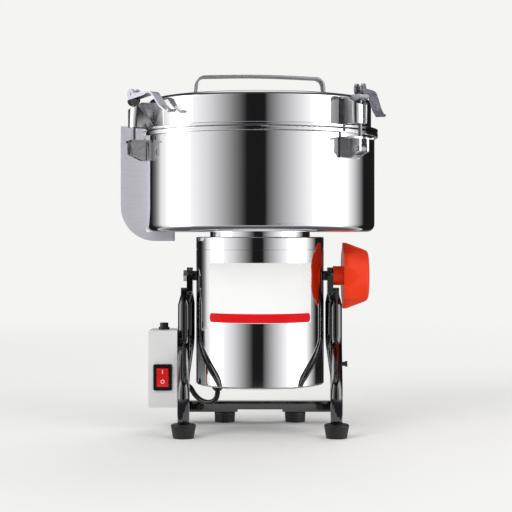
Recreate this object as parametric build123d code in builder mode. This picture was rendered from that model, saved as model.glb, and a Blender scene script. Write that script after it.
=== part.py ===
from build123d import *
import os
from math import cos, radians, sin, tan

# Electric spice grinder: a steel grinding bowl on a motor, hung between the posts of a tube stand
# so that it tips forwards, with a clamped lid, a lock knob on the right and a switch box on the left.
# Millimetres. The origin is on the table, under the motor's axis. +X is the right of someone who
# faces the front, -Y is the front and +Z is up.

# Clearances
SNUG = 0.1          # between a fixed piece and the one it plugs into
RUNNING = 0.05      # radial, between a shaft or pin and the hole that it turns in
APART = 0.3         # between faces of two pieces that move on each other

# Motor casing
PIVOT_Z = 184.5     # height of the tilting axis, which lies along X
CASING_R = 76.5
SHEET = 1.5         # thickness of the stainless sheet
CASING_BOTTOM = 56
COVER_T = 2
BOTTOM_SCREWS = 4
VENTS = 12
VENT_AT = 32        # radius of the middle of each vent
VENT_LENGTH = 20
VENT_W = 4
COLLAR_JOINT = 216
CASING_TOP = 231
JOINT_GROOVE = 0.5  # chamfer on both edges of the joint between casing and collar
LIP_H = 9           # height of the lips that the cover and the collar push into the casing

# Bowl
NECK_R = 60
NECK_H = 6
NECK_BOLTS = 4
BOWL_R = 137
BOWL_CORNER = 9
BOWL_BOTTOM = CASING_TOP + NECK_H
BOWL_H = 117.4
RIM_Z = BOWL_BOTTOM + BOWL_H
RIM_OVER = 4        # how far the rim stands out from the bowl's wall
RIM_R = BOWL_R + RIM_OVER
RIM_T = 5.9

# Lid
LID_IN = 4          # how far the lid's wall stands in from the bowl's
LID_R = BOWL_R - LID_IN
LID_FLANGE_T = 3.8
LID_GAP = 0.2
LID_BOTTOM = RIM_Z + LID_GAP
LID_H = 39.4
LID_TOP = LID_BOTTOM + LID_H
LID_CORNER = 6
GASKET_H = 4.6
GASKET_W = 6
HANDLE_SPAN = 157
HANDLE_W = 20
HANDLE_T = 2.6
HANDLE_RISE = 31
HANDLE_TOP = LID_TOP + HANDLE_RISE
HANDLE_BEND = 10
HANDLE_ARCH = 2.4   # how much higher its middle is than its ends
HANDLE_LEAN = 3     # how far each leg leans in
HANDLE_FOOT = 16
HANDLE_TURN = 8     # degrees that the handle stands off the X axis

# Lid clamps
CLAMP_ANGLES = (-43, 77, 197)   # about Z, from +X
LEVER_TURNS = (20, 20, 22)      # how far each lever is turned in from the tangent
CLAMP_OUT = 17                  # how far the bolts stand out from the bowl's wall
CLAMP_R = BOWL_R + CLAMP_OUT
CLAMP_PIN_Z = RIM_Z - 24.4
CLAMP_PIN_R = 3
BOLT_R = 2.2
EYE_R = 5.5
EYE_W = 10
EAR_T = 3
EAR_PAST = 6                    # how far the brackets reach past the bolts
EAR_OUT = CLAMP_R + EAR_PAST
EAR_DOWN = 10
EAR_UP = 11
EAR_FOOT = 8                    # how far the ears reach along their lower edge
EAR_TAPER = 7                   # how much higher their outer lower corner is
EAR_LOW = CLAMP_PIN_Z - EAR_DOWN
EAR_HIGH = CLAMP_PIN_Z + EAR_UP
PLATE_W = 34
PLATE_T = 2.5
SLOT_W = 5.6
BRACKET_W = 23
BRACKET_T = 3
BRACKET_BEND = 8
BRACKET_SHORT = 6.9             # how far the brackets on the lid end below its top
BRACKET_TOP = LID_TOP - BRACKET_SHORT
BEVEL = 30                      # degrees, slope of the seat that the saddle rests on
SADDLE_DOWN = 4                 # from the lid's top to the middle of the saddles
SADDLE_Z = LID_TOP - SADDLE_DOWN
SADDLE_R = 6
SADDLE_LENGTH = 16
SADDLE_TOP = SADDLE_Z + 1
CAM_R = 6.2
CAM_W = 11
CAM_Z = SADDLE_TOP + CAM_R + RUNNING
CAM_PIN_R = 2
TONGUE_T = 4
TONGUE_R = 3.8
LEVER_T = 2
LEVER_REACH = 77
LEVER_FLAT = 34
LEVER_DROP = 25
LEVER_STEP = 8                  # from the rivets to where the strip turns down
LEVER_HOOK = 4                  # length of the hook at its tip
LEVER_BENDS = (12, 14, 2.2)
PIN_HEAD_R = 4.2
PIN_HEAD_H = 1.8
RIVET_PROUD = 0.8

# Grip that is welded to the left of the bowl
GRIP_REACH = 31     # how far it stands out from the bowl's wall
GRIP_OUT = BOWL_R + GRIP_REACH
GRIP_UNDER = 33     # how far it reaches in under the bowl
GRIP_IN = BOWL_R - GRIP_UNDER
GRIP_FRONT = 5
GRIP_T = 26
GRIP_TOP = RIM_Z + 9.6
GRIP_BOTTOM = BOWL_BOTTOM - 11
GRIP_CORNER = 42

# Label
LABEL_H = 69.5
LABEL_HIGH = COLLAR_JOINT - 15
LABEL_LOW = LABEL_HIGH - LABEL_H
LABEL_ANGLE = 50.5  # degrees that it reaches to each side of the front
LABEL_T = 0.4

# Stand
BUSH_T = 4          # from the casing to the flattened tops of the posts
POST_X = CASING_R + BUSH_T
POST_T = 7
POST_W = 20
POST_R = 10
TUBE_R = 7
FOOT_Y = 72         # from the pivot's axis to the feet, to the front and to the back
REAR_TOP = (POST_X + 5, 7, PIVOT_Z - 32.5)
REAR_END = (POST_X + 14.5, FOOT_Y, 13)
FRONT_TOP = (POST_X + 10.5, -7, PIVOT_Z - 34.5)
FRONT_END = (POST_X + 7.5, -FOOT_Y, 16)
KNEE_HIGH = PIVOT_Z - 79.5      # where a front leg and a post turn apart
KNEE_LOW = 56                   # where they turn down again
KNEE_R = 22
FRONT_FLAT_W = 18
FRONT_FLAT_TOP = PIVOT_Z - 14.5
FLATTENED = 14      # length over which a tube goes over into its flat top
BAR_W = 18
BAR_LOW = 13
BAR_HIGH = 26
BAR_CHAMFER = 3
BAR_WALL = 2
BAR_RELIEF = 56     # length of the raised stretch between the rear feet
BAR_RELIEF_H = 3
BAR_SCREW_X = 75
BAR_SCREW_R = 3.4
BAR_SCREW_H = 2
FRONT_FOOT_TOP_R = 14.75
FRONT_FOOT_LOW_R = 12
REAR_FOOT_X = 44
REAR_FOOT_R = 13
REAR_FOOT_LOW_R = 12.4
SCREW_R = 2.5
SCREW_HEAD_R = 4.5
SCREW_HEAD_H = 2.8
FOOT_RECESS = 2
STUD_Z = 82
STUD_GAP = 3        # between the right leg and the head of the stop stud

# Pivots and lock knob
BUSH_R = 5.8
PIVOT_R = 4
PIVOT_HEAD_R = 7.5
PIVOT_HEAD_H = 4
BOSS_R = 9
BOSS_T = 12
KNOB_HUB_R = 11.5
KNOB_HUB_LENGTH = 11.4
KNOB_FACE = POST_X + POST_T + SNUG + KNOB_HUB_LENGTH    # inner face of the knob's disc
KNOB_T = 30.5
KNOB_OUT = KNOB_FACE + KNOB_T
KNOB_R = 39.5
KNOB_TOP_R = 29.5
KNOB_ROUND = 6.5
KNOB_RIM = 4
KNOB_LOBES = 6
SCALLOP_R = 29
SCALLOP_DEPTH = 4.5
STUD_IN_KNOB = 20

# Switch box
BOX_OUT = 10.5      # from the outer side of the left post's flat top to the box
BOX_IN = POST_X + POST_T + BOX_OUT
BOX_W = 34
BOX_D = 48
BOX_FRONT = 25
BOX_LOW = 29
BOX_H = 91
BOX_SHEET = 1.2
BOX_BEND = 1.6
BOX_BOLT_Z = BOX_LOW + BOX_H - 10
BOX_PLATE_T = 2.4
BOX_PLATE_W = 38
BOX_PLATE_H = 16
SWITCH_Z = 65
BEZEL_W = 22
BEZEL_H = 31
BEZEL_T = 2
SWITCH_BODY_W = 18.6
SWITCH_BODY_H = 27
SWITCH_BODY_D = 22
ROCKER_W = 14
ROCKER_H = 23
ROCKER_D = 5
ROCKER_TILT = 8
TRUNNION_R = 1.5
TERMINAL_W = 16
TERMINAL_D = 12
TERMINAL_H = 30
COVER_SCREW_IN = 6      # from the edges of the box's cover to the middle of its screws
COVER_SCREW_LENGTH = 8
GLAND_R = 5
GLAND_NUT_R = 6.5
GLAND_BORE = 3.2
GLAND_H = 8
GLAND_NUT_H = 3

# Motor
SHAFT_R = 7.5
SHAFT_LOW = CASING_BOTTOM + 4
BEARING_R = 17.5
BEARING_W = 11
SHIELD_T = 6
LOWER_SHIELD_Z = CASING_BOTTOM + 12
UPPER_SHIELD_Z = CASING_TOP - 33
STATOR_LOW = LOWER_SHIELD_Z + 32
STATOR_H = 60
STATOR_BORE = 40
STATOR_SLOTS = 4
STATOR_SLOT_R = 6
AIR_GAP = 0.6
COIL_H = 9
COIL_IN = 44
COIL_OUT = 60
COMMUTATOR_R = 16
COMMUTATOR_UP = 12
COMMUTATOR_Z = LOWER_SHIELD_Z + COMMUTATOR_UP
COMMUTATOR_H = 16
FAN_DOWN = 26       # from the upper end shield to the fan's lower face
FAN_Z = UPPER_SHIELD_Z - FAN_DOWN
FAN_H = 10
FAN_R = 54
FAN_BLADES = 10
FAN_HUB_R = 14
FAN_SHEET = 1.6
BRUSH_W = 7
BRUSH_LENGTH = 22
HOLDER_W = 12
HOLDER_OUT = 42
HOLDER_FOOT = 16
SEAL_R = 20

# Cutters
CUTTER_Z = BOWL_BOTTOM + 9
CUTTER_T = 2.5
CUTTER_SHORT = (15, 33, 53)     # how far their tips stay from the bowl's outer wall
CUTTER_TURNS = (20, 80, 140)
CUTTER_ROOT_W = 30
CUTTER_TIP_W = 14
SPACER_R = 10
SPACER_H = 15
SPINDLE_R = 6
NUT_ACROSS = 19
NUT_H = 9

# Motor lead, from the casing's cover to the switch box. Its points are chosen by hand, and its ends
# keep to the two pieces that it enters.
LEAD_R = 3
LEAD_FROM = -CASING_R + 26.5
LEAD_TO = -BOX_IN + 4
LEAD_ROUTE = [(LEAD_FROM, -28, CASING_BOTTOM - 6), (LEAD_FROM, -28, CASING_BOTTOM - 15),
              (LEAD_FROM - 8, -23, 34.5), (LEAD_FROM - 19, -15.5, 35.5), (LEAD_TO + 16, -8, 42),
              (LEAD_TO + 9, 0, 54), (LEAD_TO, 0, 54)]

SIDES = (-1, 1)


def round_bar(plane, radius, length, bore=0, mode=Mode.ADD):
    """A cylinder on a plane, or a ring where it has a bore."""
    with BuildSketch(plane) as section:
        Circle(radius)
        if bore:
            Circle(bore, mode=Mode.SUBTRACT)
    extrude(section.sketch, amount=length, mode=mode)


def level(height):
    """A level plane at a height."""
    return Plane.XY.offset(height)


def facing_right(x, y, z):
    """A plane across X, whose own X is the row's Y and whose normal is +X."""
    return Plane(origin=(x, y, z), x_dir=(0, 1, 0), z_dir=(1, 0, 0))


def facing_left(x, y, z):
    """A plane across X, whose normal is -X."""
    return Plane(origin=(x, y, z), x_dir=(0, 1, 0), z_dir=(-1, 0, 0))


def facing_front(x, y, z):
    """A plane across Y, whose own X is the row's X and whose normal is -Y."""
    return Plane(origin=(x, y, z), x_dir=(1, 0, 0), z_dir=(0, -1, 0))


def pivot_plane(x):
    """A plane across the tilting axis, at a distance along it."""
    return facing_right(x, 0, PIVOT_Z)


def clamp_place(angle, x=0, y=0, z=0):
    """A place given from one clamp: x outwards from the motor's axis, y along the rim, z up."""
    a = radians(angle)
    return Location((x * cos(a) - y * sin(a), x * sin(a) + y * cos(a), z), (0, 0, angle))


def clamp_plane(angle, radius, height, turn=0):
    """A plane across the rim at a clamp: its own X points outwards, its own Y up."""
    a, b = radians(angle), radians(angle + turn)
    return Plane(origin=(radius * cos(a), radius * sin(a), height),
                 x_dir=(cos(b), sin(b), 0), z_dir=(sin(b), -cos(b), 0))


def mirrored(point, side):
    """The point of the right side, or the same point of the left."""
    return (point[0] * side, point[1], point[2])


def leg_route(top, end, side):
    """A leg's middle line: down, out at a slant between its two knees, and down again."""
    return [mirrored(p, side) for p in (top, (top[0], top[1], KNEE_HIGH), (end[0], end[1], KNEE_LOW),
                                        end)]


BOX_X = -(BOX_IN + BOX_W / 2)
BOX_Y = BOX_D / 2 - BOX_FRONT
BOX_BACK_Y = BOX_D - BOX_FRONT
BOX_TOP = BOX_LOW + BOX_H
BOX_BOLT_YS = [BOX_Y + y * BOX_D / 4 for y in SIDES]

# Stand: a post that runs down to the rear bar, and a front leg, on each side

def bent_tube(route, flat_x, flat_w):
    """A tube along a leg's route, whose upper end goes over into a flat bar."""
    with BuildPart() as tube:
        with BuildLine() as line:
            FilletPolyline(*route, radius=KNEE_R)
        with BuildSketch(Plane(origin=route[0], z_dir=(0, 0, -1))) as section:
            Circle(TUBE_R)
        sweep(section.sketch, path=line.line)
        top_x, top_y, top_z = route[0]
        with BuildSketch(level(top_z)) as round_end:
            with Locations((top_x, top_y)):
                Circle(TUBE_R)
        with BuildSketch(level(top_z + FLATTENED)) as flat_end:
            with Locations((flat_x, 0)):
                Rectangle(POST_T, flat_w)
        loft([round_end.sketch, flat_end.sketch])
    return tube.part


def build_post(side):
    with BuildPart() as post:
        add(bent_tube(leg_route(REAR_TOP, REAR_END, side), side * (POST_X + POST_T / 2), POST_W))
        with BuildSketch(Plane.YZ.offset(side * POST_X)) as blade:
            with Locations((0, PIVOT_Z)):
                Circle(POST_R)
            low = REAR_TOP[2] + FLATTENED
            with Locations((0, (low + PIVOT_Z) / 2)):
                Rectangle(POST_W, PIVOT_Z - low)
        extrude(blade.sketch, amount=side * POST_T)
        round_bar(pivot_plane(0), PIVOT_R + RUNNING, side * (POST_X + 2 * POST_T),
                  mode=Mode.SUBTRACT)
    return post


def build_front_leg(side, post):
    """The left front leg carries a welded plate, which the switch box is bolted to."""
    with BuildPart() as leg:
        add(bent_tube(leg_route(FRONT_TOP, FRONT_END, side), side * (POST_X + 1.5 * POST_T),
                      FRONT_FLAT_W))
        with BuildSketch(Plane.YZ.offset(side * (POST_X + POST_T))) as blade:
            low = FRONT_TOP[2] + FLATTENED
            with Locations((0, (low + FRONT_FLAT_TOP) / 2)):
                Rectangle(FRONT_FLAT_W, FRONT_FLAT_TOP - low)
            fillet(blade.vertices().group_by(Axis.Y)[-1], 3)
        extrude(blade.sketch, amount=side * POST_T)
        if side < 0:
            with Locations((-BOX_IN + BOX_PLATE_T / 2, BOX_Y, BOX_BOLT_Z)):
                Box(BOX_PLATE_T, BOX_PLATE_W, BOX_PLATE_H)
            for y in BOX_BOLT_YS:
                round_bar(facing_left(-BOX_IN + 2 * BOX_PLATE_T, y, BOX_BOLT_Z), SCREW_R + SNUG,
                          3 * BOX_PLATE_T, mode=Mode.SUBTRACT)
        add(post.part, mode=Mode.SUBTRACT)
    return leg


left_post = build_post(-1)
right_post = build_post(1)
left_front_leg = build_front_leg(-1, left_post)
right_front_leg = build_front_leg(1, right_post)

BAR_Y = REAR_END[1]
with BuildPart() as rear_bar:
    with BuildSketch(Plane.YZ) as outline:
        with Locations((BAR_Y, (BAR_LOW + BAR_HIGH) / 2)):
            Rectangle(BAR_W, BAR_HIGH - BAR_LOW)
        chamfer(outline.vertices().group_by(Axis.Y)[-1], BAR_CHAMFER)
        offset(amount=-BAR_WALL, kind=Kind.INTERSECTION, mode=Mode.SUBTRACT)
    extrude(outline.sketch, amount=REAR_END[0], both=True)
    with Locations((0, BAR_Y, BAR_LOW)):
        Box(BAR_RELIEF, BAR_W + 2, 2 * BAR_RELIEF_H, mode=Mode.SUBTRACT)
    with Locations(*[facing_front(x * BAR_SCREW_X, BAR_Y - BAR_W / 2, (BAR_LOW + BAR_HIGH) / 2)
                     for x in SIDES]):
        Hole(SCREW_R + SNUG, 2 * BAR_WALL)
    with Locations(*[(x * REAR_FOOT_X, BAR_Y, BAR_LOW + BAR_WALL) for x in SIDES]):
        Hole(SCREW_R + SNUG, 2 * BAR_WALL)
    add(left_post.part, mode=Mode.SUBTRACT)
    add(right_post.part, mode=Mode.SUBTRACT)


def foot(low_r, top_r, height):
    """A rubber foot under a place, drawn at the origin, with the recess for its screw."""
    with BuildPart() as rubber:
        Cone(low_r, top_r, height, align=(Align.CENTER, Align.CENTER, Align.MIN))
        fillet(rubber.edges().sort_by(Axis.Z)[-1], 2)
        with Locations((0, 0, 0)):
            Cylinder(SCREW_R + SNUG, 3 * height, mode=Mode.SUBTRACT)
            Cylinder(SCREW_HEAD_R + SNUG, 2 * (SCREW_HEAD_H + FOOT_RECESS), mode=Mode.SUBTRACT)
    return rubber.part


front_foot = foot(FRONT_FOOT_LOW_R, FRONT_FOOT_TOP_R, FRONT_END[2])
rear_foot = foot(REAR_FOOT_LOW_R, REAR_FOOT_R, BAR_LOW)
FRONT_FEET_AT = [(x * FRONT_END[0], FRONT_END[1], 0) for x in SIDES]
REAR_FEET_AT = [(x * REAR_FOOT_X, BAR_Y, 0) for x in SIDES]

with BuildPart() as front_feet:
    with Locations(*FRONT_FEET_AT):
        add(front_foot)

with BuildPart() as rear_feet:
    with Locations(*REAR_FEET_AT):
        add(rear_foot)

with BuildPart() as foot_screws:
    with Locations(*[(x, y, FOOT_RECESS) for x, y, z in FRONT_FEET_AT + REAR_FEET_AT]):
        Cylinder(SCREW_HEAD_R, SCREW_HEAD_H, align=(Align.CENTER, Align.CENTER, Align.MIN))
    with Locations(*[(x, y, FOOT_RECESS + SCREW_HEAD_H) for x, y, z in FRONT_FEET_AT]):
        Cylinder(SCREW_R, FRONT_END[2] - FOOT_RECESS - SCREW_HEAD_H,
                 align=(Align.CENTER, Align.CENTER, Align.MIN))
    with Locations(*[(x, y, FOOT_RECESS + SCREW_HEAD_H) for x, y, z in REAR_FEET_AT]):
        Cylinder(SCREW_R, BAR_LOW, align=(Align.CENTER, Align.CENTER, Align.MIN))

knee_share = (KNEE_HIGH - STUD_Z) / (KNEE_HIGH - KNEE_LOW)
STUD_X = FRONT_TOP[0] + (FRONT_END[0] - FRONT_TOP[0]) * knee_share
STUD_Y = FRONT_TOP[1] + (FRONT_END[1] - FRONT_TOP[1]) * knee_share

with BuildPart() as frame_screws:
    for x in SIDES:
        round_bar(facing_front(x * BAR_SCREW_X, BAR_Y - BAR_W / 2, (BAR_LOW + BAR_HIGH) / 2),
                  BAR_SCREW_R, BAR_SCREW_H)
        round_bar(facing_front(x * BAR_SCREW_X, BAR_Y - BAR_W / 2, (BAR_LOW + BAR_HIGH) / 2),
                  SCREW_R, -2 * BAR_WALL)
    round_bar(facing_right(STUD_X, STUD_Y, STUD_Z), SCREW_R, TUBE_R + STUD_GAP)
    round_bar(facing_right(STUD_X + TUBE_R + STUD_GAP, STUD_Y, STUD_Z), BAR_SCREW_R, SCREW_HEAD_H)
    add(right_front_leg.part, mode=Mode.SUBTRACT)

with BuildPart() as pivot_bushes:
    for x in SIDES:
        round_bar(pivot_plane(x * (CASING_R + SNUG)), BUSH_R, x * (BUSH_T - SNUG),
                  bore=PIVOT_R + RUNNING)


# Switch box on the outside of the left leg

LEAD_END = LEAD_ROUTE[-1]

with BuildPart() as switch_box:
    with BuildSketch(facing_front(BOX_X, BOX_BACK_Y - BOX_SHEET, BOX_LOW + BOX_H / 2)) as outline:
        RectangleRounded(BOX_W, BOX_H, BOX_BEND)
    extrude(outline.sketch, amount=BOX_D - BOX_SHEET)
    offset(amount=-BOX_SHEET, openings=switch_box.faces().sort_by(Axis.Y)[-1])
    with Locations((BOX_X, -BOX_FRONT, SWITCH_Z)):
        Box(SWITCH_BODY_W + 2 * SNUG, 4 * BOX_SHEET, SWITCH_BODY_H + 2 * SNUG, mode=Mode.SUBTRACT)
    round_bar(Plane((BOX_X, 0, BOX_TOP - 2 * BOX_SHEET)), GLAND_R + SNUG, 4 * BOX_SHEET,
              mode=Mode.SUBTRACT)
    round_bar(facing_left(-BOX_IN + 2, LEAD_END[1], LEAD_END[2]), GLAND_R + SNUG, 4 * BOX_SHEET,
              mode=Mode.SUBTRACT)
    for y in BOX_BOLT_YS:
        round_bar(facing_left(-BOX_IN + 2, y, BOX_BOLT_Z), SCREW_R + SNUG, 4 * BOX_SHEET,
                  mode=Mode.SUBTRACT)

COVER_SCREWS_AT = [(BOX_X + x * (BOX_W / 2 - COVER_SCREW_IN), z) for x in SIDES
                   for z in (BOX_LOW + COVER_SCREW_IN, BOX_TOP - COVER_SCREW_IN)]

with BuildPart() as box_cover:
    with BuildSketch(facing_front(BOX_X, BOX_BACK_Y, BOX_LOW + BOX_H / 2)) as outline:
        RectangleRounded(BOX_W, BOX_H, BOX_BEND)
    extrude(outline.sketch, amount=BOX_SHEET)
    for x, z in COVER_SCREWS_AT:
        round_bar(facing_front(x, BOX_BACK_Y + BOX_SHEET, z), SCREW_R / 2 + SNUG, 4 * BOX_SHEET,
                  mode=Mode.SUBTRACT)

with BuildPart() as box_screws:
    for x, z in COVER_SCREWS_AT:
        round_bar(facing_front(x, BOX_BACK_Y, z), SCREW_R / 2, COVER_SCREW_LENGTH)
        round_bar(facing_front(x, BOX_BACK_Y, z), SCREW_R, -SCREW_HEAD_H / 2)
    for y in BOX_BOLT_YS:
        round_bar(facing_left(-BOX_IN + BOX_PLATE_T, y, BOX_BOLT_Z), SCREW_R,
                  BOX_PLATE_T + BOX_SHEET)
        round_bar(facing_left(-BOX_IN - BOX_SHEET, y, BOX_BOLT_Z), SCREW_HEAD_R, SCREW_HEAD_H)

with BuildPart() as switch_housing:
    with BuildSketch(facing_front(BOX_X, -BOX_FRONT, SWITCH_Z)) as bezel:
        RectangleRounded(BEZEL_W, BEZEL_H, 2)
    extrude(bezel.sketch, amount=BEZEL_T)
    with BuildSketch(facing_front(BOX_X, -BOX_FRONT, SWITCH_Z)) as body:
        Rectangle(SWITCH_BODY_W, SWITCH_BODY_H)
    extrude(body.sketch, amount=-SWITCH_BODY_D)
    with BuildSketch(facing_front(BOX_X, -BOX_FRONT - BEZEL_T, SWITCH_Z)) as well:
        Rectangle(ROCKER_W + 2 * APART, ROCKER_H + 2 * APART)
    extrude(well.sketch, amount=-(BEZEL_T + 2 * ROCKER_D), mode=Mode.SUBTRACT)
    round_bar(facing_right(BOX_X - SWITCH_BODY_W / 2 + 1, -BOX_FRONT, SWITCH_Z),
              TRUNNION_R + RUNNING, SWITCH_BODY_W - 2, mode=Mode.SUBTRACT)

with BuildPart() as switch_rocker:
    rise = ROCKER_H / 2 * tan(radians(ROCKER_TILT))
    with BuildSketch(facing_right(BOX_X - ROCKER_W / 2, -BOX_FRONT, SWITCH_Z)) as profile:
        with BuildLine():
            Polyline((-BEZEL_T - 0.6, 0), (-BEZEL_T - 0.6 - 2 * rise, ROCKER_H / 2),
                     (ROCKER_D - 2 * rise, ROCKER_H / 2 - 1), (ROCKER_D, -2),
                     (ROCKER_D, -ROCKER_H / 2 + 1.5), (-BEZEL_T - 0.6, -ROCKER_H / 2), close=True)
        make_face()
        Circle(ROCKER_H / 2, mode=Mode.INTERSECT)
    extrude(profile.sketch, amount=ROCKER_W)
    round_bar(facing_right(BOX_X - SWITCH_BODY_W / 2 + 1.2, -BOX_FRONT, SWITCH_Z), TRUNNION_R,
              SWITCH_BODY_W - 2.4)

with BuildPart() as mains_gland:
    round_bar(level(BOX_TOP - 2 * BOX_SHEET).move(Location((BOX_X, 0, 0))), GLAND_R,
              GLAND_H + 2 * BOX_SHEET, bore=GLAND_BORE)
    round_bar(level(BOX_TOP).move(Location((BOX_X, 0, 0))), GLAND_NUT_R, GLAND_NUT_H, bore=GLAND_BORE)

with BuildPart() as lead_grommet:
    round_bar(facing_left(LEAD_END[0], LEAD_END[1], LEAD_END[2]), GLAND_R,
              BOX_IN + LEAD_END[0] + 2 * BOX_SHEET)
    round_bar(facing_left(LEAD_END[0], LEAD_END[1], LEAD_END[2]), GLAND_NUT_R,
              BOX_IN + LEAD_END[0])

with BuildPart() as terminal_block:
    with Locations((BOX_X, BOX_BACK_Y - BOX_SHEET - TERMINAL_D / 2, SWITCH_Z)):
        Box(TERMINAL_W, TERMINAL_D, TERMINAL_H)


# Motor casing

with BuildPart() as motor_casing:
    round_bar(level(CASING_BOTTOM + COVER_T), CASING_R, COLLAR_JOINT - CASING_BOTTOM - COVER_T,
              bore=CASING_R - SHEET)
    with BuildSketch(Plane.YZ) as pivot_holes:
        with Locations((0, PIVOT_Z)):
            Circle(PIVOT_R + SNUG)
    extrude(pivot_holes.sketch, amount=2 * CASING_R, both=True, mode=Mode.SUBTRACT)
    chamfer(motor_casing.edges().group_by(Axis.Z)[-1].sort_by(SortBy.RADIUS)[-1], JOINT_GROOVE)

LIP_R = CASING_R - SHEET - SNUG
with BuildPart() as casing_collar:
    round_bar(level(COLLAR_JOINT), CASING_R, CASING_TOP - COLLAR_JOINT, bore=CASING_R - SHEET)
    round_bar(level(CASING_TOP - SHEET), CASING_R, SHEET, bore=SEAL_R + 3)
    fillet(casing_collar.edges().group_by(Axis.Z)[-1].sort_by(SortBy.RADIUS)[-1], SHEET * 0.9)
    outer_edges = casing_collar.edges().filter_by(GeomType.CIRCLE).filter_by(
        lambda e: e.radius > CASING_R - 0.01)
    chamfer(outer_edges.sort_by(Axis.Z)[0], JOINT_GROOVE)
    round_bar(level(COLLAR_JOINT - LIP_H), LIP_R, CASING_TOP - COLLAR_JOINT + LIP_H - SHEET,
              bore=LIP_R - SHEET)

COVER_SCREW_R = LIP_R - 22
NECK_BOLT_R = (SEAL_R + NECK_R) / 2
GLAND_X, GLAND_Y, GLAND_Z = LEAD_ROUTE[0]
with BuildPart() as bottom_cover:
    round_bar(level(CASING_BOTTOM), CASING_R, COVER_T)
    fillet(bottom_cover.edges().group_by(Axis.Z)[0], COVER_T * 0.8)
    round_bar(level(CASING_BOTTOM), LIP_R, COVER_T + LIP_H, bore=LIP_R - SHEET)
    with PolarLocations(COVER_SCREW_R, BOTTOM_SCREWS, start_angle=45):
        Cylinder(SCREW_R + SNUG, 4 * CASING_BOTTOM, mode=Mode.SUBTRACT)
    Cylinder(SCREW_R + SNUG, 4 * CASING_BOTTOM, mode=Mode.SUBTRACT)
    with Locations((GLAND_X, GLAND_Y, CASING_BOTTOM)):
        Cylinder(GLAND_R + SNUG, 4 * COVER_T, mode=Mode.SUBTRACT)
    with PolarLocations(VENT_AT, VENTS):
        Box(VENT_LENGTH, VENT_W, 4 * CASING_BOTTOM, mode=Mode.SUBTRACT)

with BuildPart() as head_screws:
    with PolarLocations(COVER_SCREW_R, BOTTOM_SCREWS, start_angle=45):
        with Locations((0, 0, CASING_BOTTOM)):
            Cylinder(SCREW_R, LOWER_SHIELD_Z - CASING_BOTTOM,
                     align=(Align.CENTER, Align.CENTER, Align.MIN))
            Cylinder(SCREW_HEAD_R, SCREW_HEAD_H, align=(Align.CENTER, Align.CENTER, Align.MAX))
    with Locations((0, 0, CASING_BOTTOM)):
        Cylinder(SCREW_R, 3, align=(Align.CENTER, Align.CENTER, Align.MIN))
        Cylinder(SCREW_HEAD_R, SCREW_HEAD_H, align=(Align.CENTER, Align.CENTER, Align.MAX))
    with PolarLocations(NECK_BOLT_R, NECK_BOLTS):
        with Locations((0, 0, BOWL_BOTTOM + SHEET)):
            Cylinder(SCREW_HEAD_R, SCREW_HEAD_H, align=(Align.CENTER, Align.CENTER, Align.MIN))
            Cylinder(SCREW_R, NECK_H + SHEET, align=(Align.CENTER, Align.CENTER, Align.MAX))

with BuildPart() as casing_gland:
    round_bar(Plane((GLAND_X, GLAND_Y, GLAND_Z)), GLAND_R, CASING_BOTTOM + COVER_T + 2 - GLAND_Z)
    round_bar(Plane((GLAND_X, GLAND_Y, GLAND_Z + 2)), GLAND_NUT_R, CASING_BOTTOM - GLAND_Z - 2)

with BuildPart() as label_plate:
    with BuildSketch(level(LABEL_LOW)) as sector:
        Circle(CASING_R + RUNNING + LABEL_T)
        Circle(CASING_R + RUNNING, mode=Mode.SUBTRACT)
        with BuildLine():
            reach = 2 * CASING_R
            Polyline((0, 0), (-reach * sin(radians(LABEL_ANGLE)), -reach * cos(radians(LABEL_ANGLE))),
                     (0, -reach * 1.5),
                     (reach * sin(radians(LABEL_ANGLE)), -reach * cos(radians(LABEL_ANGLE))),
                     close=True)
        make_face(mode=Mode.INTERSECT)
    extrude(sector.sketch, amount=LABEL_HIGH - LABEL_LOW)

with BuildPart() as pivot_bosses:
    for x in SIDES:
        round_bar(pivot_plane(x * (CASING_R - SHEET)), BOSS_R, -x * BOSS_T,
                  bore=PIVOT_R + SNUG)
    with Locations((0, 0, PIVOT_Z)):
        Cylinder(CASING_R - SHEET, 4 * BOSS_R, mode=Mode.INTERSECT)

with BuildPart() as left_pivot_bolt:
    bolt_in = CASING_R - SHEET - BOSS_T
    round_bar(pivot_plane(-bolt_in), PIVOT_R, -(POST_X + POST_T + SNUG - bolt_in))
    with BuildSketch(pivot_plane(-(POST_X + POST_T + SNUG))) as head:
        RegularPolygon(PIVOT_HEAD_R, 6)
    extrude(head.sketch, amount=-PIVOT_HEAD_H)

with BuildPart() as right_pivot_stud:
    round_bar(pivot_plane(bolt_in), PIVOT_R, KNOB_FACE + STUD_IN_KNOB - bolt_in)


# Lock knob

with BuildPart() as lock_knob:
    round_bar(pivot_plane(POST_X + POST_T + SNUG), KNOB_HUB_R, KNOB_FACE - POST_X - POST_T)
    round_bar(pivot_plane(KNOB_FACE), KNOB_R, KNOB_RIM)
    with BuildSketch(pivot_plane(KNOB_FACE + KNOB_RIM)) as wide:
        Circle(KNOB_R)
    with BuildSketch(pivot_plane(KNOB_OUT)) as narrow:
        Circle(KNOB_TOP_R)
    loft([wide.sketch, narrow.sketch])
    fillet(lock_knob.edges().filter_by(GeomType.CIRCLE).sort_by(Axis.X)[-1], KNOB_ROUND)
    with BuildSketch(pivot_plane(KNOB_FACE)) as scallops:
        with PolarLocations(KNOB_R + SCALLOP_R - SCALLOP_DEPTH, KNOB_LOBES):
            Circle(SCALLOP_R)
    extrude(scallops.sketch, amount=KNOB_OUT - KNOB_FACE, mode=Mode.SUBTRACT)
    round_bar(pivot_plane(POST_X), PIVOT_R + RUNNING, KNOB_FACE + STUD_IN_KNOB + 1 - POST_X,
              mode=Mode.SUBTRACT)


# Bowl, its neck and the brackets on it

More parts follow.
